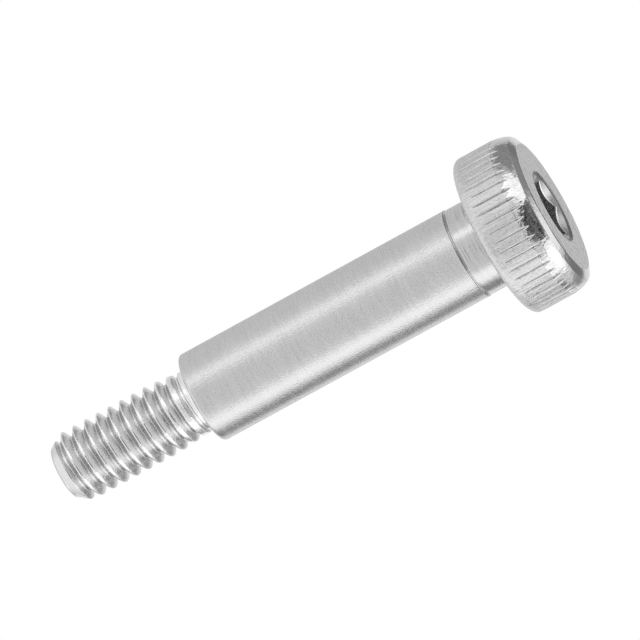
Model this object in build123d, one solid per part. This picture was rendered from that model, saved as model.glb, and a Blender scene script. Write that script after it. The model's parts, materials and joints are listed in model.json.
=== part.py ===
from build123d import *
import os
from math import atan2, ceil, degrees, radians, sqrt, tan

# Shoulder bolt with a knurled socket head, in one piece of stainless steel.
# It stands on its head: the flat of the head lies on z = 0, and +Z runs along the axis
# of the bolt to the free end of the thread. All sizes are in millimetres and degrees.

# Head
head_diameter = 8.88
head_height = 3.45
head_edge_radius = 0.9
rounded_edge_width = 0.33      # what the turned bevel leaves of the rounded edge
face_bevel_width = 0.43        # turned bevel between the rounded edge and the flat
seat_edge_radius = 0.4         # rounded edge on the side of the shoulder
neck_chamfer = 0.15

# Straight knurl round the head
knurl_groove_count = 50
knurl_groove_depth = 0.08
knurl_groove_angle = 75.0
knurl_top_margin = 0.93        # from the flat of the head to the tips of the grooves
knurl_seat_margin = 0.48       # from the seat of the head to the other ends
knurl_run_out = 0.4            # length over which a groove loses its depth

# Hex socket
socket_across_flats = 3.0
socket_depth = 2.0
socket_turn = 3.3              # turn of the hexagon about the axis
socket_point_angle = 120.0
mouth_diameter = 4.2           # shallow dish round the mouth
mouth_depth = 0.1
mouth_chamfer_diameter = 3.52  # chamfer of the hexagon below the dish
mouth_chamfer_angle = 92.0

# Shoulder, with a turned relief under the head
shoulder_diameter = 4.96
shoulder_length = 17.4         # from the seat of the head to the end of the shoulder
relief_diameter = 4.9
relief_length = 1.6
relief_groove_diameter = 4.74
relief_groove_width = 0.18
relief_groove_slope = 0.1      # length of the sloping wall up to the shoulder
shoulder_end_radius = 0.2

# Rolled thread, M4 x 0.7, on a blank of its pitch diameter
thread_diameter = 3.84
thread_pitch = 0.7
thread_angle = 60.0
thread_length = 8.25
thread_blank_diameter = 3.45
blank_chamfer = 0.25
blank_length = 0.3             # plain length between the shoulder and the thread
thread_rise_length = 2.0       # length over which the crests grow to full height
thread_point_diameter = 2.74
thread_point_length = 0.8
thread_point_facet = 0.12      # bevel between the point and the end face
groove_start = 1.05            # first full groove, measured from the end of the shoulder
groove_start_turn = 205.7      # and the angle that it is at

# Cutters stand this far out of the surface that they cut
cutter_clearance = 0.05

# Radii and heights that follow
head_radius = head_diameter / 2
bevel_radius = head_radius - rounded_edge_width
face_radius = bevel_radius - face_bevel_width
bevel_depth = head_edge_radius - sqrt(head_edge_radius**2 - (head_edge_radius - rounded_edge_width) ** 2)
relief_radius = relief_diameter / 2
relief_groove_radius = relief_groove_diameter / 2
shoulder_radius = shoulder_diameter / 2
blank_radius = thread_blank_diameter / 2
thread_radius = thread_diameter / 2
point_radius = thread_point_diameter / 2

shoulder_start = head_height + relief_length
relief_end = shoulder_start - relief_groove_width
shoulder_end = head_height + shoulder_length
thread_rise_start = shoulder_end + blank_length
thread_rise_end = thread_rise_start + thread_rise_length
bolt_end = shoulder_end + thread_length
point_start = bolt_end - thread_point_length

# Thread form
fundamental_height = thread_pitch / (2 * tan(radians(thread_angle / 2)))
thread_depth = fundamental_height * 17 / 24
thread_crest_width = thread_pitch / 8


def turned_body():
    """The whole bolt as it comes off the lathe, before the knurl, the thread and the socket."""
    point_slope = (thread_radius - point_radius) / thread_point_length
    with BuildPart() as body:
        with BuildSketch(Plane.XZ):
            with BuildLine():
                Polyline((0, bolt_end), (0, 0), (face_radius, 0), (bevel_radius, bevel_depth))
                RadiusArc((bevel_radius, bevel_depth), (head_radius, head_edge_radius), -head_edge_radius)
                Line((head_radius, head_edge_radius), (head_radius, head_height - seat_edge_radius))
                RadiusArc(
                    (head_radius, head_height - seat_edge_radius),
                    (head_radius - seat_edge_radius, head_height),
                    -seat_edge_radius,
                )
                Polyline(
                    (head_radius - seat_edge_radius, head_height),
                    (relief_radius + neck_chamfer, head_height),
                    (relief_radius, head_height + neck_chamfer),
                    (relief_radius, relief_end),
                    (relief_groove_radius, shoulder_start - relief_groove_slope),
                    (shoulder_radius, shoulder_start),
                    (shoulder_radius, shoulder_end - shoulder_end_radius),
                )
                RadiusArc(
                    (shoulder_radius, shoulder_end - shoulder_end_radius),
                    (shoulder_radius - shoulder_end_radius, shoulder_end),
                    -shoulder_end_radius,
                )
                Polyline(
                    (shoulder_radius - shoulder_end_radius, shoulder_end),
                    (blank_radius + blank_chamfer, shoulder_end),
                    (blank_radius, shoulder_end + blank_chamfer),
                    (blank_radius, thread_rise_start),
                    (thread_radius, thread_rise_end),
                    (thread_radius, point_start),
                    (point_radius + point_slope * thread_point_facet, bolt_end - thread_point_facet),
                    (point_radius - thread_point_facet, bolt_end),
                    (0, bolt_end),
                )
            make_face()
        revolve(axis=Axis.Z)
    return body.part


def knurl_cutter():
    """One V-shaped cutter along the head, with its edge rising out of the surface at both ends."""
    outer_radius = head_radius + cutter_clearance
    half_slope = tan(radians(knurl_groove_angle / 2))
    groove_bottom = knurl_top_margin
    groove_top = head_height - knurl_seat_margin
    sections = []
    for height, depth in (
        (groove_bottom, 0),
        (groove_bottom + knurl_run_out, knurl_groove_depth),
        (groove_top - knurl_run_out, knurl_groove_depth),
        (groove_top, 0),
    ):
        edge_radius = head_radius - depth
        half_width = (outer_radius - edge_radius) * half_slope
        with BuildSketch(Plane.XY.offset(height)) as section:
            with BuildLine():
                Polyline(
                    (edge_radius, 0),
                    (outer_radius, half_width),
                    (outer_radius, -half_width),
                    close=True,
                )
            make_face()
        sections.append(section.sketch)
    return loft(sections, ruled=True)


def knurl_cutters():
    """The ring of cutters: the -Y side of the head lies midway between two grooves."""
    spacing = 360 / knurl_groove_count
    cutter = knurl_cutter()
    return [
        Rot(Z=-90 + spacing * (index + 0.5)) * cutter
        for index in range(knurl_groove_count)
    ]


def socket_cutter():
    """Hexagon with a drilled point, and the chamfer and shallow dish at its mouth."""
    half_flats = socket_across_flats / 2
    hexagon = RegularPolygon(half_flats, 6, major_radius=False, rotation=30 + socket_turn)
    point_length = half_flats / tan(radians(socket_point_angle / 2))
    chamfer_radius = mouth_chamfer_diameter / 2
    chamfer_length = chamfer_radius / tan(radians(mouth_chamfer_angle / 2))
    from_base = (Align.CENTER, Align.CENTER, Align.MIN)
    hole = extrude(hexagon, socket_depth)
    hole += Pos(0, 0, socket_depth) * Cone(half_flats, 0, point_length, align=from_base)
    hole += Pos(0, 0, mouth_depth) * Cone(chamfer_radius, 0, chamfer_length, align=from_base)
    hole += Cone(mouth_diameter / 2, chamfer_radius, mouth_depth, align=from_base)
    return hole


def groove_section(edge_radius, height):
    """Section of one thread groove, in the plane of the axis, at a radius of its floor."""
    outer_radius = edge_radius + thread_depth + cutter_clearance
    half_slope = tan(radians(thread_angle / 2))
    mouth_half_width = (thread_pitch - thread_crest_width) / 2 + cutter_clearance * half_slope
    floor_half_width = mouth_half_width - (thread_depth + cutter_clearance) * half_slope
    with BuildSketch(Plane.XZ) as section:
        with BuildLine():
            Polyline(
                (edge_radius, height - floor_half_width),
                (outer_radius, height - mouth_half_width),
                (outer_radius, height + mouth_half_width),
                (edge_radius, height + floor_half_width),
                close=True,
            )
        make_face()
    return section.sketch


def thread_cutters():
    """Helical cutters: one turn that sinks into the blank, then full turns to the free end."""
    floor_radius = thread_radius - thread_depth
    full_start = shoulder_end + groove_start
    full_path = Helix(thread_pitch, thread_pitch, floor_radius, center=(0, 0, full_start))
    full_turn = sweep(groove_section(floor_radius, full_start), path=full_path, is_frenet=True)
    turn_count = ceil((bolt_end - full_start) / thread_pitch)

    sink_depth = thread_depth + cutter_clearance
    sink_start = full_start - thread_pitch
    sink_path = Helix(
        thread_pitch,
        thread_pitch,
        floor_radius + sink_depth,
        center=(0, 0, sink_start),
        cone_angle=-degrees(atan2(sink_depth, thread_pitch)),
    )
    sink_turn = sweep(groove_section(floor_radius + sink_depth, sink_start), path=sink_path, is_frenet=True)
    turns = [sink_turn] + [Pos(0, 0, turn * thread_pitch) * full_turn for turn in range(turn_count)]
    return [Rot(Z=groove_start_turn) * turn for turn in turns]


def shoulder_bolt():
    bolt = turned_body()
    bolt -= knurl_cutters()
    bolt -= socket_cutter()
    bolt -= thread_cutters()
    return bolt


os.makedirs("parts", exist_ok=True)
export_step(shoulder_bolt(), "parts/shoulder_bolt.step")
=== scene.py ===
import json
from math import cos, pi, radians, sin, sqrt, tan

import bpy
from mathutils import Matrix, Vector
from mathutils.geometry import interpolate_bezier as interpolateBezier


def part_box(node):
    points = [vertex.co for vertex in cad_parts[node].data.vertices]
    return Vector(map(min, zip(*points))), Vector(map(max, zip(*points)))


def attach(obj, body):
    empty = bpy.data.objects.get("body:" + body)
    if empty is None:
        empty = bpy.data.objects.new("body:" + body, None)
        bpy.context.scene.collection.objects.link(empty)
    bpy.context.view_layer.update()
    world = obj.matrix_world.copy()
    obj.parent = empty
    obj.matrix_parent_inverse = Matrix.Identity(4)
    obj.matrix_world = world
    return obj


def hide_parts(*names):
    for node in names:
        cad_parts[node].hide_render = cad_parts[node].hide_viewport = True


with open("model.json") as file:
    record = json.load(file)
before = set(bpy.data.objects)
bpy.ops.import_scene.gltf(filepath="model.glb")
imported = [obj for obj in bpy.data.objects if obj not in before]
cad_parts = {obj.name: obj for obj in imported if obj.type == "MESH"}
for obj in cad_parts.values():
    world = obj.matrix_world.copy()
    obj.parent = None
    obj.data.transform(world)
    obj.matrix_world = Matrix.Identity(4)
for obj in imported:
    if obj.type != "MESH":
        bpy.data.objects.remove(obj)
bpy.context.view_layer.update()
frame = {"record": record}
print("frame is in")

mm = 0.001

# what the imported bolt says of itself, in millimetres; its head stands on height 0
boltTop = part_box("shoulder_bolt")[1]
mounts = {mount["name"]: mount for mount in frame["record"]["mounts"]}
headRadius = round(boltTop.x / mm, 2)
boltEnd = round(boltTop.z / mm, 2)
seatHeight = round(mounts["head_seat"]["pos_m"][2] / mm, 2)
shoulderEnd = round(mounts["shoulder_end"]["pos_m"][2] / mm, 2)
shoulderRadius = mounts["shoulder"]["dims"]["r_mm"]
threadRadius = mounts["thread"]["dims"]["r_mm"]
halfFlats = mounts["hex_socket"]["dims"]["r_mm"]
socketDepth = mounts["hex_socket"]["dims"]["length_mm"]


# node helpers

def addNode(tree, kind, inputs=None, **settings):
    node = tree.nodes.new(kind)
    for key, value in settings.items():
        setattr(node, key, value)
    for key, value in (inputs or {}).items():
        if isinstance(value, bpy.types.NodeSocket):
            tree.links.new(value, node.inputs[key])
        else:
            node.inputs[key].default_value = value
    return node


def reckoner(tree):  # sum("ADD", a, b) adds one math node and gives its result
    def reckon(operation, *values):
        return addNode(tree, "ShaderNodeMath", dict(enumerate(values)), operation=operation).outputs[0]
    return reckon


# a new tree; None stands for geometry, a whole number for an integer, and anything else for a size
def openTree(name, sockets):
    tree = bpy.data.node_groups.new(name, "GeometryNodeTree")
    for label, value in sockets.items():
        kind = "Geometry" if value is None else "Int" if isinstance(value, int) else "Float"
        socket = tree.interface.new_socket(label, in_out="INPUT", socket_type="NodeSocket" + kind)
        if value is not None:
            socket.default_value = value
    tree.interface.new_socket("Geometry", in_out="OUTPUT", socket_type="NodeSocketGeometry")
    given = tree.nodes.new("NodeGroupInput").outputs
    result = tree.nodes.new("NodeGroupOutput").inputs["Geometry"]
    return tree, given, result


def gridPlaces(tree, columns, lines):  # a grid, and the line and column that each of its points is in
    reckon = reckoner(tree)
    perLine = reckon("ADD", columns, 1)
    grid = addNode(tree, "GeometryNodeMeshGrid", {
        "Vertices X": lines, "Vertices Y": perLine,
    }).outputs["Mesh"]
    index = addNode(tree, "GeometryNodeInputIndex").outputs[0]
    line = reckon("FLOOR", reckon("DIVIDE", reckon("ADD", index, 0.5), perLine))
    column = reckon("SUBTRACT", index, reckon("MULTIPLY", line, perLine))
    return grid, line, column


def roundPlace(tree, grid, angle, radius, height):
    reckon = reckoner(tree)
    spot = addNode(tree, "ShaderNodeCombineXYZ", {
        "X": reckon("MULTIPLY", radius, reckon("COSINE", angle)),
        "Y": reckon("MULTIPLY", radius, reckon("SINE", angle)),
        "Z": height,
    }).outputs[0]
    return addNode(tree, "GeometryNodeSetPosition", {"Geometry": grid, "Position": spot}).outputs[0]


# the turned shape: rows of points from the bottom of the socket, over the head and down the shank

finishNames = ["shoulder", "neck", "thread", "tip", "seat", "rim", "bevel", "face", "dish", "socket"]

headSizes = {
    "columns": 600,
    "faceRadius": 3.68,
    "faceFillet": 0.07,     # how far the rounding between face and bevel reaches either way
    "bevelRadius": 4.11,
    "bevelHeight": 0.2035,
    "polishHeight": 1.156,  # the polished edge ends here, at the knurl
    "bevelInset": 0.012,    # the bevel's last row lies this far inside its edge
    "filletSteps": (0, 0.25, 0.5, 0.75, 1),
    "edgeLeans": (radians(46), radians(6)),     # how the polished edge's curve leans at its two ends
    "edgeReaches": (0.25, 0.45),                # and how far each of them is felt
    "edgeSteps": 24,
    "rimHeights": [1.17, 1.2, 1.25, 1.32, 2.5, 2.57, 2.63, 2.69, 2.75, 2.81, 2.86, 2.91, 2.96],
    "seatEdgeRadius": 0.4,
    "seatEdgeSteps": 10,
    "seatEdgeEnd": 3.7,
    "seatRing": 3.2,        # the columns get fewer here
}

knurlSizes = {
    "grooves": 50,
    "angle": radians(75),
    "crowding": 1.8,        # over 1, columns gather at the grooves
    "blend": 0.02,
    "unevenness": 0.016,
    "seed": 7,
    # height and radius of a groove's floor, from one end to the other
    "floors": [(0.7, 4.4), (0.8, 4.36), (1.08, 4.35), (1.25, 4.378), (2.6, 4.378), (2.97, 4.445)],
}

socketSizes = {
    "turn": radians(-86.7),       # where one corner lies
    "chamferAngle": radians(100),
    "chamferRadius": 1.82,
    "chamferDepth": 0.08,
    "dishRadius": 2.04,
    "dishWall": (0.05, 0.04),     # how far the wall of the dish leans in, and its depth
    "pointAngle": radians(120),
    "edge": 0.035,                # rounding between the hexagon and the chamfer
    "edgeMiddle": (0.2, 0.25),
    # the rows that round an edge off: radius and height over it
    "chamferEnd": [(-0.01, 0.01), (0.012, -0.005)],
    "wallFoot": [(-0.015, 0.003), (0.004, -0.012)],
    "wallTop": [(-0.006, 0.009), (0.01, 0)],
}

shankSizes = {
    "columns": 120,
    "neckFillet": 0.15,
    "neckFilletSteps": 8,
    "neckRadius": 2.45,
    "neckLength": 1.45,           # from the seat of the head to the turned line
    # the turned line: radius, and height over the neck's end
    "line": [(2.45, -0.01), (2.446, 0), (2.388, 0.004), (2.379, 0.02), (2.378, 0.045), (2.386, 0.07)],
    "reliefLength": 1.63,
    # the foot of the lip and the lip: radius over the shoulder's, and height over the relief's end
    "lipFoot": (-0.03, -0.008),
    "lip": [(0.01, 0.004), (0.016, 0.018), (0.012, 0.045), (0.003, 0.1), (0, 0.15)],
    "endRadius": 0.2,
    "endSteps": 9,
    "blankRadius": 1.725,
    "blankFillet": 0.25,
    "blankFilletSteps": 9,
}

threadSizes = {
    "pitch": 0.7,
    "steps": 24,            # rows in one pitch
    "halfAngle": radians(30),
    "halfCrest": 0.04375,
    "rootRadius": 0.11,
    "blend": 0.1,
    "sinkDepth": 0.12,      # in one pitch
    "grooveStart": 1.35,    # a groove at angle 0, measured like the next three from the shoulder
    "fullGroove": 1.05,
    "riseStart": 0.3,
    "riseEnd": 2.3,
    "pointLength": 0.8,
    "pointRadius": 1.37,
    "tipEdge": 0.12,
    # two rows that round the tip: in from the bevel's edge and from the point, and down from the end
    "tipRounding": ((0.035, 0.07), (0.05, 0.022)),
}

firstAngle = radians(-86.4)     # the columns of head and shank start here, at a groove of the knurl
noGroove = 99.0                 # a groove's floor this far out cuts nothing
supportGap = 0.02               # on a long straight, a row lies this close to each end
longStraight = 0.1


# warp is 1 where columns gather at the knurl's grooves, snap the number of columns that share one place,
# hexShare 1 on the hexagon, and lens 1 where the chamfer cuts it
def row(radius, height, finish, **extra):
    plain = dict(grooveFloor=noGroove, startAngle=firstAngle, warp=0.0, snap=1.0, hexShare=0.0, lens=0.0)
    return {"radius": radius, "height": height, "finish": finishNames.index(finish), **plain, **extra}


def arcRows(centre, radius, start, end, steps, finish, **extra):
    turns = [radians(start + (end - start) * step / steps) for step in range(steps + 1)]
    return [
        row(centre[0] + radius * cos(turn), centre[1] + radius * sin(turn), finish, **extra)
        for turn in turns
    ]


def supported(rows):  # long straights get a row close to each end, so that their shading stays flat
    full = [rows[0]]
    for old, new in zip(rows, rows[1:]):
        length = sqrt((new["radius"] - old["radius"]) ** 2 + (new["height"] - old["height"]) ** 2)
        if length > longStraight:
            for near, share in ((old, supportGap / length), (new, 1 - supportGap / length)):
                place = {key: old[key] + (new[key] - old[key]) * share for key in ("radius", "height")}
                full.append({**near, **place, "finish": old["finish"]})
        full.append(new)
    return full


def socketRows():
    s = socketSizes
    turned = dict(startAngle=s["turn"])
    hexed = dict(turned, hexShare=1.0)
    edged = dict(hexed, lens=1.0)
    lean = s["chamferAngle"] / 2
    edgeHeight = s["chamferDepth"] + (s["chamferRadius"] - halfFlats) / tan(lean)
    pointHeight = socketDepth + halfFlats / tan(s["pointAngle"] / 2)
    e = s["edge"]
    middleOut, middleUp = s["edgeMiddle"]
    wallLean, wallDepth = s["dishWall"]
    rows = [
        row(0, pointHeight, "socket", **turned),
        row(halfFlats, socketDepth, "socket", **turned),
        row(halfFlats, socketDepth, "socket", **hexed),
        row(halfFlats, edgeHeight + e, "socket", **edged),
        row(halfFlats + middleOut * e, edgeHeight + middleUp * e, "socket", **edged),
        row(halfFlats + e * sin(lean), edgeHeight - e * cos(lean), "socket", **edged),
    ]
    for radius, height, corners, finishes in (
        (s["chamferRadius"], s["chamferDepth"], s["chamferEnd"], ("socket", "dish")),
        (s["dishRadius"] - wallLean, wallDepth, s["wallFoot"], ("dish", "dish")),
        (s["dishRadius"], 0, s["wallTop"], ("face", "face")),
    ):
        for (out, up), finish in zip(corners, finishes):
            rows.append(row(radius + out, height + up, finish, **turned))
    return rows


def grooveFloor(height):
    floors = knurlSizes["floors"]
    for (low, start), (high, end) in zip(floors, floors[1:]):
        if low <= height <= high:
            return start + (end - start) * (height - low) / (high - low)
    return noGroove


def edgeRows():  # the polished edge, from the bevel to the knurl
    s = headSizes
    ends = Vector((s["bevelRadius"], s["bevelHeight"])), Vector((headRadius, s["polishHeight"]))
    ways = [Vector((sin(lean), cos(lean))) * reach for lean, reach in zip(s["edgeLeans"], s["edgeReaches"])]
    corners = ends[0], ends[0] + ways[0], ends[1] - ways[1], ends[1]
    places = interpolateBezier(*[corner.to_3d() for corner in corners], s["edgeSteps"])
    return [row(place.x, place.y, "rim", warp=1.0) for place in places]


def headRows():
    s = headSizes
    f, slope = s["faceFillet"], s["bevelHeight"] / (s["bevelRadius"] - s["faceRadius"])
    seatCentre = headRadius - s["seatEdgeRadius"], seatHeight - s["seatEdgeRadius"]
    rows = []
    for share in s["filletSteps"]:
        radius, height = s["faceRadius"] + f * (2 * share - 1), f * slope * share ** 2
        rows.append(row(radius, height, "bevel" if share else "face", warp=1.0))
    inset = s["bevelInset"]
    rows.append(row(s["bevelRadius"] - inset, s["bevelHeight"] - inset * slope, "bevel", warp=1.0))
    rows += edgeRows()
    rows += [row(headRadius, height, "rim", warp=1.0) for height in s["rimHeights"]]
    rows += arcRows(seatCentre, s["seatEdgeRadius"], 0, 90, s["seatEdgeSteps"], "rim", warp=1.0)
    for place in rows:
        place["grooveFloor"] = grooveFloor(place["height"])
    rows[-1]["finish"] = finishNames.index("seat")
    return rows + [
        row(s["seatEdgeEnd"], seatHeight, "seat"),
        row(s["seatRing"], seatHeight, "seat", snap=s["columns"] / shankSizes["columns"]),
    ]


def shankRows():
    s = shankSizes
    fillet = s["neckRadius"] + s["neckFillet"], seatHeight + s["neckFillet"]
    neckEnd = seatHeight + s["neckLength"]
    start = seatHeight + s["reliefLength"]
    endCentre = shoulderRadius - s["endRadius"], shoulderEnd - s["endRadius"]
    blankCentre = s["blankRadius"] + s["blankFillet"], shoulderEnd + s["blankFillet"]
    rows = [row(headSizes["seatRing"], seatHeight, "seat")]
    rows += arcRows(fillet, s["neckFillet"], -90, -180, s["neckFilletSteps"], "neck")
    rows += [row(radius, neckEnd + over, "neck") for radius, over in s["line"]]
    rows.append(row(shoulderRadius + s["lipFoot"][0], start + s["lipFoot"][1], "neck"))
    rows += [row(shoulderRadius + out, start + over, "shoulder") for out, over in s["lip"]]
    rows += arcRows(endCentre, s["endRadius"], 0, 90, s["endSteps"], "shoulder")
    rows += arcRows(blankCentre, s["blankFillet"], -90, -180, s["blankFilletSteps"], "thread")
    return rows


def tipRows():
    s = threadSizes
    edgeRadius = s["pointRadius"] + (threadRadius - s["pointRadius"]) / s["pointLength"] * s["tipEdge"]
    (firstIn, firstDown), (secondIn, secondDown) = s["tipRounding"]
    return [
        row(edgeRadius, boltEnd - s["tipEdge"], "tip"),
        row(edgeRadius - firstIn, boltEnd - firstDown, "tip"),
        row(s["pointRadius"] - secondIn, boltEnd - secondDown, "tip"),
        row(s["pointRadius"] - s["tipEdge"], boltEnd, "tip"),
        row(0, boltEnd, "tip"),
    ]


def turnedRowsTree():
    tree, given, result = openTree("turned rows", {
        "Rows": None, "First row": 0, "Row count": 2, "Columns": 120, "Groove count": 50,
        "Groove angle": 1.3, "Groove crowding": 1.8, "Groove blend": 0.01, "Groove unevenness": 0.0,
        "Half flats": 1.5, "Socket turn": 0.0, "Socket chamfer": 1.0,
    })
    reckon = reckoner(tree)
    columns = given["Columns"]
    grid, line, column = gridPlaces(tree, columns, given["Row count"])
    source = reckon("ADD", line, given["First row"])

    def fromRow(name, index=source, kind="FLOAT"):
        value = addNode(tree, "GeometryNodeInputNamedAttribute", {"Name": name}, data_type=kind).outputs[0]
        return addNode(tree, "GeometryNodeSampleIndex", {
            "Geometry": given["Rows"], "Value": value, "Index": index,
        }, data_type=kind, clamp=True).outputs[0]

    # columns gather at the knurl's grooves, or snap to a coarser ring
    snap = fromRow("snap")
    snapped = reckon("MULTIPLY", reckon("FLOOR", reckon("ADD", reckon("DIVIDE", column, snap), 0.5)), snap)
    perGroove = reckon("DIVIDE", columns, given["Groove count"])
    inGrooves = reckon("DIVIDE", column, perGroove)
    groove = reckon("FLOOR", reckon("ADD", inGrooves, 0.5))
    side = reckon("MULTIPLY", reckon("SUBTRACT", inGrooves, groove), 2.0)
    crowded = reckon("DIVIDE", reckon("POWER", reckon("ABSOLUTE", side), given["Groove crowding"]), 2.0)
    gathered = reckon("ADD", groove, reckon("MULTIPLY", crowded, reckon("SIGN", side)))
    warped = reckon("MULTIPLY", perGroove, gathered)
    warp = fromRow("warp")
    place = reckon("ADD", reckon("MULTIPLY", warped, warp),
                   reckon("MULTIPLY", snapped, reckon("SUBTRACT", 1.0, warp)))
    step = reckon("DIVIDE", 2 * pi, columns)
    angle = reckon("ADD", fromRow("startAngle"), reckon("MULTIPLY", place, step))

    # the hexagon's radius at this angle, and how far the chamfer climbs toward its corners
    fromCorner = reckon("FLOORED_MODULO", reckon("SUBTRACT", angle, given["Socket turn"]), pi / 3)
    offFlat = reckon("SUBTRACT", fromCorner, pi / 6)
    hexRadius = reckon("DIVIDE", given["Half flats"], reckon("COSINE", offFlat))
    beyondFlat = reckon("SUBTRACT", hexRadius, given["Half flats"])
    radius = reckon("ADD", fromRow("radius"), reckon("MULTIPLY", beyondFlat, fromRow("hexShare")))
    climb = reckon("DIVIDE", beyondFlat, reckon("TANGENT", reckon("DIVIDE", given["Socket chamfer"], 2.0)))
    height = reckon("SUBTRACT", fromRow("height"), reckon("MULTIPLY", climb, fromRow("lens")))

    # the knurl's grooves, each a little different
    uneven = addNode(tree, "FunctionNodeRandomValue", {"Seed": knurlSizes["seed"]}, data_type="FLOAT")
    tree.links.new(reckon("FLOORED_MODULO", groove, given["Groove count"]), uneven.inputs["ID"])
    uneven.inputs[2].default_value, uneven.inputs[3].default_value = -1.0, 1.0
    shift = reckon("MULTIPLY", uneven.outputs[1], given["Groove unevenness"])
    floor = reckon("ADD", fromRow("grooveFloor"), shift)
    offGroove = reckon("MULTIPLY", reckon("MULTIPLY", crowded, perGroove), reckon("MULTIPLY", step, radius))
    slope = reckon("TANGENT", reckon("DIVIDE", given["Groove angle"], 2.0))
    wall = reckon("ADD", floor, reckon("DIVIDE", offGroove, slope))
    radius = reckon("SMOOTH_MIN", radius, wall, given["Groove blend"])
    skin = roundPlace(tree, grid, angle, radius, height)

    # every face takes the finish of the row that it starts from
    faceIndex = addNode(tree, "GeometryNodeInputIndex").outputs[0]
    faceLine = reckon("FLOOR", reckon("DIVIDE", reckon("ADD", faceIndex, 0.5), columns))
    marked = addNode(tree, "GeometryNodeStoreNamedAttribute", {
        "Geometry": skin, "Name": "finish",
        "Value": fromRow("finish", reckon("ADD", faceLine, given["First row"]), "INT"),
    }, data_type="INT", domain="FACE")
    tree.links.new(marked.outputs[0], result)
    return tree


def rolledThreadTree():
    tree, given, result = openTree("rolled thread", {
        "Columns": 120, "Steps": 24, "First groove": 21.0, "Start": 21.0, "End": 28.0, "Start angle": 0.0,
        "Pitch": 0.7, "Half angle": 0.5, "Root floor": 1.5, "Root radius": 0.1, "Crest radius": 1.92,
        "Blank radius": 1.7, "Rise start": 21.0, "Rise end": 23.0, "Point start": 28.0, "Point slope": 0.6,
        "Full groove": 22.0, "Sink depth": 0.48, "Blend": 0.05, "Finish": 0,
    })
    reckon = reckoner(tree)
    pitch, steps = given["Pitch"], given["Steps"]
    length = reckon("SUBTRACT", given["End"], given["First groove"])
    turns = reckon("CEIL", reckon("DIVIDE", length, pitch))
    lines = reckon("ADD", reckon("MULTIPLY", turns, steps), 1)
    grid, line, column = gridPlaces(tree, given["Columns"], lines)
    turn = reckon("DIVIDE", column, given["Columns"])
    angle = reckon("ADD", given["Start angle"], reckon("MULTIPLY", turn, 2 * pi))
    along = reckon("ADD", reckon("DIVIDE", line, steps), turn)
    free = reckon("ADD", given["First groove"], reckon("MULTIPLY", along, pitch))
    height = reckon("MINIMUM", reckon("MAXIMUM", free, given["Start"]), given["End"])

    # the rounded V of the nearest groove
    pitches = reckon("DIVIDE", line, steps)
    nearest = reckon("FLOOR", reckon("ADD", pitches, 0.5))
    off = reckon("MULTIPLY", pitch, reckon("ABSOLUTE", reckon("SUBTRACT", pitches, nearest)))
    root = given["Root radius"]
    tangent = reckon("MULTIPLY", root, reckon("COSINE", given["Half angle"]))
    flankStart = reckon("MULTIPLY", root, reckon("SUBTRACT", 1.0, reckon("SINE", given["Half angle"])))
    rise = reckon("DIVIDE", reckon("SUBTRACT", off, tangent), reckon("TANGENT", given["Half angle"]))
    flank = reckon("ADD", flankStart, rise)
    square = reckon("SUBTRACT", reckon("MULTIPLY", root, root), reckon("MULTIPLY", off, off))
    arc = reckon("SUBTRACT", root, reckon("SQRT", reckon("MAXIMUM", square, 0.0)))
    onFlank = reckon("GREATER_THAN", off, tangent)
    onArc = reckon("SUBTRACT", 1.0, onFlank)
    form = reckon("ADD", reckon("MULTIPLY", flank, onFlank), reckon("MULTIPLY", arc, onArc))

    # it sinks in by the shoulder, and the crests rise and fall with the blank
    climbed = reckon("MULTIPLY", pitch, reckon("ADD", nearest, turn))
    grooveHeight = reckon("ADD", given["First groove"], climbed)
    toGo = reckon("DIVIDE", reckon("SUBTRACT", given["Full groove"], grooveHeight), pitch)
    sink = reckon("MULTIPLY", given["Sink depth"], reckon("MAXIMUM", toGo, 0.0))
    cut = reckon("ADD", reckon("ADD", given["Root floor"], sink), form)
    risen = addNode(tree, "ShaderNodeMapRange", {
        "Value": height, "From Min": given["Rise start"], "From Max": given["Rise end"],
        "To Min": given["Blank radius"], "To Max": given["Crest radius"],
    }).outputs[0]
    fallen = reckon("MULTIPLY", given["Point slope"],
                    reckon("MAXIMUM", reckon("SUBTRACT", height, given["Point start"]), 0.0))
    blank = reckon("MINIMUM", risen, reckon("SUBTRACT", given["Crest radius"], fallen))
    radius = reckon("SMOOTH_MIN", blank, cut, given["Blend"])
    short, past = reckon("LESS_THAN", free, given["Start"]), reckon("GREATER_THAN", free, given["End"])
    atEnd = reckon("MAXIMUM", short, past)
    onThread = reckon("SUBTRACT", 1.0, atEnd)
    radius = reckon("ADD", reckon("MULTIPLY", blank, atEnd), reckon("MULTIPLY", radius, onThread))
    skin = roundPlace(tree, grid, angle, radius, height)
    marked = addNode(tree, "GeometryNodeStoreNamedAttribute", {
        "Geometry": skin, "Name": "finish", "Value": given["Finish"],
    }, data_type="INT", domain="FACE")
    tree.links.new(marked.outputs[0], result)
    return tree


joinSizes = {
    "weld": 0.001,              # points closer than this become one
    "crease": radians(50),      # a sharper fold stays a hard edge
}


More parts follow.
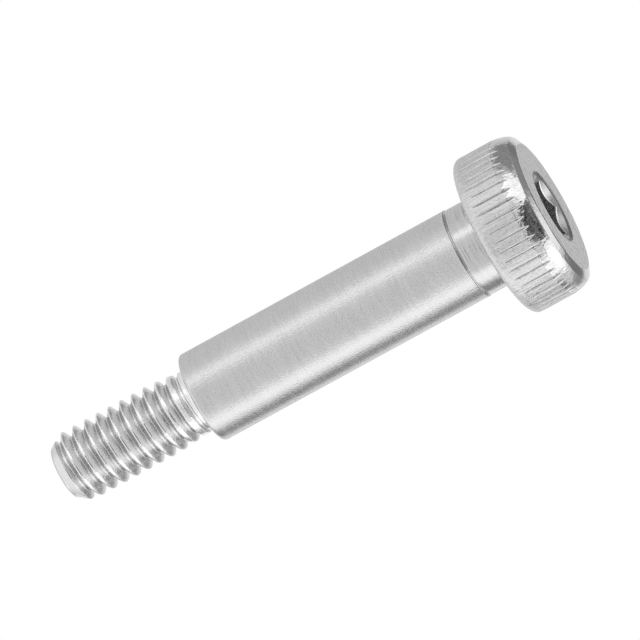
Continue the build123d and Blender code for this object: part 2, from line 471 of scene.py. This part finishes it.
def boltTree(sizes, rowCounts, materials):
    turnedRows, rolledThread = turnedRowsTree(), rolledThreadTree()
    tree, given, result = openTree("shoulder bolt", {"Rows": None, **sizes})
    join = addNode(tree, "GeometryNodeJoinGeometry")
    known = [socket.name for socket in turnedRows.interface.items_tree]
    shared = [name for name in sizes if name in known]
    first = 0
    for count, columns in zip(rowCounts, ("Head columns", "Shank columns", "Shank columns")):
        part = addNode(tree, "GeometryNodeGroup", node_tree=turnedRows)
        for name in ["Rows"] + shared:
            tree.links.new(given[name], part.inputs[name])
        tree.links.new(given[columns], part.inputs["Columns"])
        part.inputs["First row"].default_value = first
        part.inputs["Row count"].default_value = count
        tree.links.new(part.outputs[0], join.inputs[0])
        first += count
    thread = addNode(tree, "GeometryNodeGroup", {"Finish": finishNames.index("thread")},
                     node_tree=rolledThread)
    tree.links.new(given["Shank columns"], thread.inputs["Columns"])
    for name in sizes:
        if name in thread.inputs:
            tree.links.new(given[name], thread.inputs[name])
    tree.links.new(thread.outputs[0], join.inputs[0])
    whole = addNode(tree, "GeometryNodeMergeByDistance", {
        "Geometry": join.outputs[0], "Distance": joinSizes["weld"],
    }).outputs[0]
    smooth = addNode(tree, "GeometryNodeSetShadeSmooth", {"Geometry": whole}, domain="FACE").outputs[0]
    fold = addNode(tree, "GeometryNodeInputMeshEdgeAngle").outputs[0]
    sharp = addNode(tree, "FunctionNodeCompare", {0: fold, 1: joinSizes["crease"]}, data_type="FLOAT",
                    operation="GREATER_THAN").outputs[0]
    creased = addNode(tree, "GeometryNodeSetShadeSmooth", {
        "Geometry": smooth, "Selection": sharp, "Shade Smooth": False,
    }, domain="EDGE").outputs[0]
    metres = addNode(tree, "GeometryNodeTransform", {"Geometry": creased, "Scale": (mm, mm, mm)}).outputs[0]
    outward = addNode(tree, "GeometryNodeFlipFaces", {0: metres}).outputs[0]
    last = addNode(tree, "GeometryNodeRealizeInstances", {"Geometry": outward}).outputs[0]
    last = addNode(tree, "GeometryNodeSetMaterial", {
        "Geometry": last, "Material": materials[finishNames[0]],
    }).outputs[0]
    finish = addNode(tree, "GeometryNodeInputNamedAttribute", {"Name": "finish"},
                     data_type="INT").outputs[0]
    for number, name in enumerate(finishNames[1:], 1):
        chosen = addNode(tree, "FunctionNodeCompare", {2: finish, 3: number}, data_type="INT",
                         operation="EQUAL").outputs[0]
        last = addNode(tree, "GeometryNodeSetMaterial", {
            "Geometry": last, "Selection": chosen, "Material": materials[name],
        }).outputs[0]
    tree.links.new(last, result)
    return tree


# finishes: every one is the same stainless steel, worked in its own way; the dish's low grey is painted
# shade marks run round the bolt and grain is its speckle, in waves per millimetre, with depths in
# thousandths of a millimetre; edge is how much the steel brightens when seen aslant, mottle how much its
# tone wanders the hollow shade is a tone factor inside one radius, which is gone at the next: painted shade
# in the thread's roots; point is one beyond a height: painted shade toward the thread's point

finishLooks = {
    "shoulder": dict(
        grey=0.53, edge=0.78, roughness=0.26, marks=(0.7, 0.7, 6), markDepth=6, grain=12, grainDepth=18,
        mottle=0.3),
    "neck": dict(
        grey=0.51, edge=0.8, roughness=0.22, marks=(0.3, 0.3, 9), markDepth=24, grain=10, grainDepth=8,
        mottle=0.3),
    # the thread's roots and its point are painted darker: painted shade
    "thread": dict(
        grey=0.72, edge=0.9, roughness=0.26, marks=(1, 1, 8), markDepth=12, grain=8, grainDepth=16,
        mottle=0.14, hollow=(1.48, 1.6, 0.66), point=(boltEnd - 0.85, boltEnd - 0.7, 0.84)),
    "tip": dict(
        grey=0.52, edge=0.8, roughness=0.24, radialMarks=10, markDepth=8, grain=8, grainDepth=8,
        mottle=0.2),
    "seat": dict(
        grey=0.5, edge=0.7, roughness=0.3, radialMarks=9, markDepth=12, grain=9, grainDepth=8,
        mottle=0.3),
    "rim": dict(
        grey=0.56, edge=0.85, roughness=0.42, marks=(9, 9, 0.8), markDepth=32, grain=9, grainDepth=24,
        mottle=0.8, polishedBelow=headSizes["polishHeight"], polishedGrey=0.54, polishedRoughness=0.1),
    "bevel": dict(
        grey=0.6, edge=0.9, roughness=0.14, radialMarks=8, markDepth=4, grain=5, grainDepth=8,
        mottle=0.1),
    "face": dict(
        grey=0.46, edge=0.85, roughness=0.2, radialMarks=7, markDepth=10, grain=2.5, grainDepth=30,
        mottle=0.4),
    # the dish's low grey is painted shade in the socket's mouth
    "dish": dict(
        grey=0.31, edge=0.7, roughness=0.34, radialMarks=9, markDepth=8, grain=8, grainDepth=10,
        mottle=0.2),
    "socket": dict(
        grey=0.52, edge=0.8, roughness=0.26, marks=(4, 4, 1.2), markDepth=6, grain=6, grainDepth=4,
        mottle=0.1),
}

wearSizes = {
    "ringDrift": 0.5,           # how fast the rings of a turned flat change along themselves
    "cloud": (0.9, 0.12),       # wide clouds: waves per millimetre, and how much they add to the wear
    "tone": 0.4,                # how strongly the wear shows in the tone
    "roughness": 2.0,           # and in the roughness
    "border": (5.0, 0.05),      # the edge of the polish wanders: waves per millimetre, and how far
    "borderBlur": 0.015,
    "ripple": (3.5, 26.0),      # of the polish itself: waves per millimetre, and depth
    "polishedRelief": 0.1,      # share of the marks and grain that the polish leaves
}


def steelFinish(name, look):
    material = bpy.data.materials.new(name + " steel")
    material.use_nodes = True
    tree = material.node_tree
    tree.nodes.clear()
    reckon = reckoner(tree)
    wears = wearSizes
    place = addNode(tree, "ShaderNodeTexCoord").outputs["Object"]
    inMm = addNode(tree, "ShaderNodeVectorMath", {0: place, "Scale": 1 / mm}, operation="SCALE").outputs[0]
    x, y, z = addNode(tree, "ShaderNodeSeparateXYZ", {0: inMm}).outputs
    radius = reckon("SQRT", reckon("ADD", reckon("MULTIPLY", x, x), reckon("MULTIPLY", y, y)))

    def noise(vector, scale, detail=2.0, roughness=0.5):
        return addNode(tree, "ShaderNodeTexNoise", {
            "Vector": vector, "Scale": scale, "Detail": detail, "Roughness": roughness,
        }).outputs["Fac"]

    def between(value, low, high, start=0.0, end=1.0):
        return addNode(tree, "ShaderNodeMapRange", {
            "Value": value, "From Min": low, "From Max": high, "To Min": start, "To Max": end,
        }, interpolation_type="SMOOTHSTEP").outputs[0]

    def blend(share, none, full):
        return reckon("ADD", none, reckon("MULTIPLY", share, full - none))

    if "radialMarks" in look:  # turning marks on a flat
        stretched = addNode(tree, "ShaderNodeCombineXYZ", {
            0: reckon("MULTIPLY", radius, look["radialMarks"]),
            1: reckon("MULTIPLY", x, wears["ringDrift"]),
            2: reckon("MULTIPLY", y, wears["ringDrift"]),
        }).outputs[0]
    else:
        stretched = addNode(tree, "ShaderNodeVectorMath", {0: inMm, 1: look["marks"]},
                            operation="MULTIPLY").outputs[0]
    marks = noise(stretched, 1.0)
    grain = noise(inMm, look["grain"], 3.0)
    cloud = noise(inMm, wears["cloud"][0], 3.0)
    relief = reckon("ADD", reckon("MULTIPLY", marks, look["markDepth"]),
                    reckon("MULTIPLY", grain, look["grainDepth"]))
    speckle = reckon("MULTIPLY", reckon("SUBTRACT", reckon("ADD", marks, grain), 1.0), look["mottle"])
    wear = reckon("ADD", reckon("MULTIPLY", reckon("SUBTRACT", cloud, 0.5), wears["cloud"][1]), speckle)
    roughness, tone, shade = look["roughness"], look["grey"], 1.0
    # painted shade: the steel darkens toward the bottom of the thread's grooves
    if "hollow" in look:
        inner, outer, factor = look["hollow"]
        shade = between(radius, inner, outer, factor, 1.0)
    # painted shade: the thread's tone darkens toward its point
    if "point" in look:
        low, high, factor = look["point"]
        beyond = between(z, low, high)
        shade = reckon("ADD", reckon("MULTIPLY", shade, reckon("SUBTRACT", 1.0, beyond)),
                       reckon("MULTIPLY", factor, beyond))
    if "polishedBelow" in look:
        waves, reach = wears["border"]
        wander = reckon("MULTIPLY", reckon("SUBTRACT", noise(inMm, waves), 0.5), reach)
        low, high = look["polishedBelow"] - wears["borderBlur"], look["polishedBelow"] + wears["borderBlur"]
        satin = between(reckon("ADD", z, wander), low, high)
        waves, depth = wears["ripple"]
        ripple = reckon("ADD", reckon("MULTIPLY", noise(inMm, waves), depth),
                        reckon("MULTIPLY", relief, wears["polishedRelief"]))
        roughness = blend(satin, look["polishedRoughness"], look["roughness"])
        tone = blend(satin, look["polishedGrey"], look["grey"])
        relief = reckon("ADD", reckon("MULTIPLY", ripple, reckon("SUBTRACT", 1.0, satin)),
                        reckon("MULTIPLY", relief, satin))
    worn = reckon("ADD", 1.0, reckon("MULTIPLY", wear, wears["roughness"]))
    roughness = reckon("MULTIPLY", roughness, worn)
    tone = reckon("MULTIPLY", reckon("ADD", tone, reckon("MULTIPLY", wear, wears["tone"])), shade)
    bump = addNode(tree, "ShaderNodeBump", {"Height": relief, "Strength": 1.0, "Distance": 0.001 * mm})
    steel = addNode(tree, "ShaderNodeBsdfPrincipled", {
        "Base Color": tone, "Metallic": 1.0, "Roughness": roughness,
        "Specular Tint": (look["edge"],) * 3 + (1,), "Normal": bump.outputs[0],
    })
    output = addNode(tree, "ShaderNodeOutputMaterial")
    tree.links.new(steel.outputs[0], output.inputs["Surface"])
    return material


materials = {name: steelFinish(name, finishLooks[name]) for name in finishNames}
print("finishes are mixed")


# the bolt itself

def rowMesh(rows):
    mesh = bpy.data.meshes.new("rows")
    mesh.from_pydata([(place["radius"], 0, place["height"]) for place in rows], [], [])
    for key in rows[0]:
        kind = "INT" if key == "finish" else "FLOAT"
        attribute = mesh.attributes.new(key, kind, "POINT")
        attribute.data.foreach_set("value", [place[key] for place in rows])
    return mesh


def buildBolt():
    t, s = threadSizes, shankSizes
    threadDepth = (t["pitch"] / 2 - t["halfCrest"]) / tan(t["halfAngle"]) - t["rootRadius"]
    blankEnd = shoulderEnd + s["blankFillet"]
    startTurn = firstAngle / (2 * pi)
    firstGroove = shoulderEnd + t["grooveStart"] + t["pitch"] * startTurn
    while firstGroove > blankEnd - t["pitch"]:
        firstGroove -= t["pitch"]
    sizes = {
        "Head columns": headSizes["columns"], "Shank columns": s["columns"],
        "Groove count": knurlSizes["grooves"], "Groove angle": knurlSizes["angle"],
        "Groove crowding": knurlSizes["crowding"], "Groove blend": knurlSizes["blend"],
        "Groove unevenness": knurlSizes["unevenness"],
        "Half flats": halfFlats, "Socket turn": socketSizes["turn"],
        "Socket chamfer": socketSizes["chamferAngle"],
        "Steps": t["steps"], "First groove": firstGroove, "Start": blankEnd, "End": boltEnd - t["tipEdge"],
        "Start angle": firstAngle, "Pitch": t["pitch"], "Half angle": t["halfAngle"],
        "Root floor": threadRadius - threadDepth, "Root radius": t["rootRadius"],
        "Crest radius": threadRadius, "Blank radius": s["blankRadius"],
        "Rise start": shoulderEnd + t["riseStart"],
        "Rise end": shoulderEnd + t["riseEnd"], "Point start": boltEnd - t["pointLength"],
        "Point slope": (threadRadius - t["pointRadius"]) / t["pointLength"],
        "Full groove": shoulderEnd + t["fullGroove"], "Sink depth": t["sinkDepth"], "Blend": t["blend"],
    }
    parts = [supported(rows) for rows in (socketRows() + headRows(), shankRows(), tipRows())]
    tree = boltTree(sizes, [len(rows) for rows in parts], materials)
    blank = bpy.data.objects.new("rows", rowMesh(sum(parts, [])))
    bpy.context.scene.collection.objects.link(blank)
    modifier = blank.modifiers.new("shoulder bolt", "NODES")
    modifier.node_group = tree
    for socket in tree.interface.items_tree:
        if socket.in_out == "INPUT" and socket.name in sizes:
            modifier[socket.identifier] = sizes[socket.name]
    bpy.context.view_layer.update()
    seen = bpy.context.evaluated_depsgraph_get()
    mesh = bpy.data.meshes.new_from_object(blank.evaluated_get(seen), depsgraph=seen)
    mesh.materials.pop(index=0)     # the empty one that the grids brought
    bolt = bpy.data.objects.new("bolt", mesh)
    bpy.context.scene.collection.objects.link(bolt)
    bpy.data.objects.remove(blank)
    return bolt


bolt = buildBolt()
print("bolt is made,", sum(len(face.vertices) - 2 for face in bolt.data.polygons), "triangles")
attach(bolt, "root")
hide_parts("shoulder_bolt")


# studio

studio = {
    "floorRadius": 0.16,
    "floorDrop": 0.02 * mm,
    "floorTone": 0.8,
    "floorFade": 0.4,       # share of its radius at which the floor starts to fade out
    "backdrop": 1.0,
    "fill": 0.55,
    "lampDistance": 0.5,
    "cardDistance": 0.45,
    "cardEdge": 0.2,        # share of a card's half size over which it fades out
    "patchWaves": (15.0, 7.0),
    "patchContrast": (0.4, 0.6),
}

# azimuth, elevation, width and height in degrees, and radiance
softboxes = {
    "top softbox": (0, 78, 76, 76, 0.25),
    "side softbox": (72, 5, 35, 100, 0.72),
    "far softbox": (-49, 8, 15, 44, 0.85),
    "edge softbox": (148, 12, 18, 44, 0.5),
    "low side softbox": (70, -48, 56, 60, 0.68),
    "low far softbox": (-51, -42, 42, 66, 0.68),
    "under softbox": (172, -57, 36, 14, 0.35),
}

# the same for the dark cards that the steel mirrors, with their tone; soft fades them further in
flags = {
    "side flag": dict(spot=(115, 20, 36, 46), tone=0.38),
    "low flag": dict(spot=(7, -41, 58, 80), tone=0.18, cloud=0.9),
    "back flag": dict(spot=(180, -33, 84, 34), tone=0.27),
    "far flag": dict(spot=(-112, -21, 74, 66), tone=0.4, soft=0.5),
    "near flag": dict(spot=(138, -14, 44, 46), tone=0.45, soft=0.7),
    "ring flag": dict(spot=(-158, -47, 30, 30), tone=0.35),
    "floor flag": dict(spot=(0, -90, 46, 46), tone=0.42, soft=0.4),
}


def makeWorld():
    world = bpy.data.worlds.new("white studio")
    bpy.context.scene.world = world
    world.use_nodes = True
    tree = world.node_tree
    tree.nodes.clear()
    reckon = reckoner(tree)
    rays = addNode(tree, "ShaderNodeLightPath").outputs
    mirrored = reckon("MAXIMUM", rays["Is Glossy Ray"], rays["Is Transmission Ray"])
    seen = reckon("MAXIMUM", rays["Is Camera Ray"], mirrored)
    strength = reckon("ADD", studio["fill"], reckon("MULTIPLY", seen, studio["backdrop"] - studio["fill"]))
    light = addNode(tree, "ShaderNodeBackground", {"Color": (1, 1, 1, 1), "Strength": strength})
    output = addNode(tree, "ShaderNodeOutputWorld")
    tree.links.new(light.outputs[0], output.inputs["Surface"])


def makeFloor():
    mesh = bpy.data.meshes.new("floor")
    r, z = studio["floorRadius"], -studio["floorDrop"]
    mesh.from_pydata([(-r, -r, z), (r, -r, z), (r, r, z), (-r, r, z)], [], [(0, 1, 2, 3)])
    floor = bpy.data.objects.new("floor", mesh)
    bpy.context.scene.collection.objects.link(floor)
    material = bpy.data.materials.new("pale floor")
    material.use_nodes = True
    tree = material.node_tree
    tree.nodes.clear()
    reckon = reckoner(tree)
    fromBelow = addNode(tree, "ShaderNodeNewGeometry").outputs["Backfacing"]
    cameraRay = addNode(tree, "ShaderNodeLightPath").outputs["Is Camera Ray"]
    shown = reckon("MULTIPLY", reckon("SUBTRACT", 1.0, fromBelow), cameraRay)
    place = addNode(tree, "ShaderNodeTexCoord").outputs["Object"]
    away = addNode(tree, "ShaderNodeVectorMath", {0: place}, operation="LENGTH").outputs["Value"]
    fade = addNode(tree, "ShaderNodeMapRange", {
        "Value": away, "From Min": studio["floorFade"] * r, "From Max": r, "To Min": 1.0, "To Max": 0.0,
    }, interpolation_type="SMOOTHSTEP").outputs[0]
    pale = addNode(tree, "ShaderNodeBsdfDiffuse", {"Color": (studio["floorTone"],) * 3 + (1,)})
    clear = addNode(tree, "ShaderNodeBsdfTransparent")
    mix = addNode(tree, "ShaderNodeMixShader", {
        0: reckon("MULTIPLY", shown, fade), 1: clear.outputs[0], 2: pale.outputs[0],
    })
    output = addNode(tree, "ShaderNodeOutputMaterial")
    tree.links.new(mix.outputs[0], output.inputs["Surface"])
    mesh.materials.append(material)
    return floor


def towards(azimuth, elevation):  # azimuth 0 is the front, -Y; positive turns toward -X
    a, e = radians(azimuth), radians(elevation)
    return Vector((-sin(a) * cos(e), -cos(a) * cos(e), sin(e)))


def softbox(name, azimuth, elevation, width, height, radiance):
    way, distance = towards(azimuth, elevation), studio["lampDistance"]
    light = bpy.data.lights.new(name, "AREA")
    light.shape = "RECTANGLE"
    light.size = 2 * distance * tan(radians(width / 2))
    light.size_y = 2 * distance * tan(radians(height / 2))
    light.energy = radiance * pi * light.size * light.size_y
    lamp = bpy.data.objects.new(name, light)
    bpy.context.scene.collection.objects.link(lamp)
    lamp.location = way * distance
    lamp.rotation_euler = way.to_track_quat("Z", "Y").to_euler()


def flag(name, spot, tone, soft=studio["cardEdge"], cloud=0.0):
    azimuth, elevation, width, height = spot
    way, distance = towards(azimuth, elevation), studio["cardDistance"]
    mesh = bpy.data.meshes.new(name)
    w, h = distance * tan(radians(width / 2)), distance * tan(radians(height / 2))
    mesh.from_pydata([(-w, -h, 0), (w, -h, 0), (w, h, 0), (-w, h, 0)], [], [(0, 1, 2, 3)])
    panel = bpy.data.objects.new(name, mesh)
    bpy.context.scene.collection.objects.link(panel)
    panel.location = way * distance
    panel.rotation_euler = way.to_track_quat("Z", "Y").to_euler()
    material = bpy.data.materials.new(name)
    material.use_nodes = True
    tree = material.node_tree
    tree.nodes.clear()
    reckon = reckoner(tree)
    place = addNode(tree, "ShaderNodeTexCoord").outputs["Object"]
    x, y, _ = addNode(tree, "ShaderNodeSeparateXYZ", {0: place}).outputs
    edges = []
    for across, reach in ((x, w), (y, h)):
        edges.append(addNode(tree, "ShaderNodeMapRange", {
            "Value": reckon("ABSOLUTE", across), "From Min": (1 - soft) * reach, "From Max": reach,
            "To Min": 1.0, "To Max": 0.0,
        }, interpolation_type="SMOOTHSTEP").outputs[0])
    if cloud:   # uneven, as crumpled cloth
        wavesX, wavesY = studio["patchWaves"]
        low, high = studio["patchContrast"]
        spread = addNode(tree, "ShaderNodeCombineXYZ", {
            0: reckon("MULTIPLY", x, wavesX), 1: reckon("MULTIPLY", y, wavesY),
        }).outputs[0]
        noise = addNode(tree, "ShaderNodeTexNoise", {"Vector": spread, "Scale": 1.0, "Detail": 2.0})
        patches = addNode(tree, "ShaderNodeMapRange", {
            "Value": noise.outputs["Fac"], "From Min": low, "From Max": high,
            "To Min": 1 - cloud, "To Max": 1 + cloud,
        }).outputs[0]
        tone = reckon("MULTIPLY", patches, tone)
    glow = addNode(tree, "ShaderNodeEmission", {"Color": (1, 1, 1, 1), "Strength": tone})
    clear = addNode(tree, "ShaderNodeBsdfTransparent")
    mix = addNode(tree, "ShaderNodeMixShader", {
        0: reckon("MULTIPLY", *edges), 1: clear.outputs[0], 2: glow.outputs[0],
    })
    output = addNode(tree, "ShaderNodeOutputMaterial")
    tree.links.new(mix.outputs[0], output.inputs["Surface"])
    mesh.materials.append(material)
    # only the bolt's reflections see it
    panel.visible_camera = panel.visible_diffuse = panel.visible_shadow = panel.visible_transmission = False


makeWorld()
floor = makeFloor()
for name, settings in softboxes.items():
    softbox(name, *settings)
for name, settings in flags.items():
    flag(name, **settings)
print("studio is set")


# camera: below the level of the head's flat, rolled so that the bolt lies aslant

cameraSizes = {
    "below": radians(11.4),
    "roll": radians(28.68),
    "frameWidth": 32.65 * mm,
    "distance": 0.8418,
    "headAt": (0.3636, 0.1777),     # the head's flat, in shares of the frame's width from its centre
    "sensor": 36,
    "clip": (0.01, 10),
}


def makeCamera():
    s = cameraSizes
    toCamera = Vector((0, -cos(s["below"]), -sin(s["below"])))
    headward = Vector((0, 0, -1))
    right = (headward - headward.dot(toCamera) * toCamera).normalized()
    up = toCamera.cross(right)
    across = right * cos(s["roll"]) - up * sin(s["roll"])
    upright = toCamera.cross(across)
    data = bpy.data.cameras.new("camera")
    data.sensor_width = s["sensor"]
    data.lens = s["sensor"] * s["distance"] / s["frameWidth"]
    data.clip_start, data.clip_end = s["clip"]
    camera = bpy.data.objects.new("camera", data)
    bpy.context.scene.collection.objects.link(camera)
    headSpot = s["frameWidth"] * (across * s["headAt"][0] + upright * s["headAt"][1])
    spot = Matrix((across, upright, toCamera)).transposed().to_4x4()
    spot.translation = toCamera * s["distance"] - headSpot
    camera.matrix_world = spot
    bpy.context.scene.camera = camera


makeCamera()
bpy.context.scene.view_settings.view_transform = "Standard"
print("camera is placed")
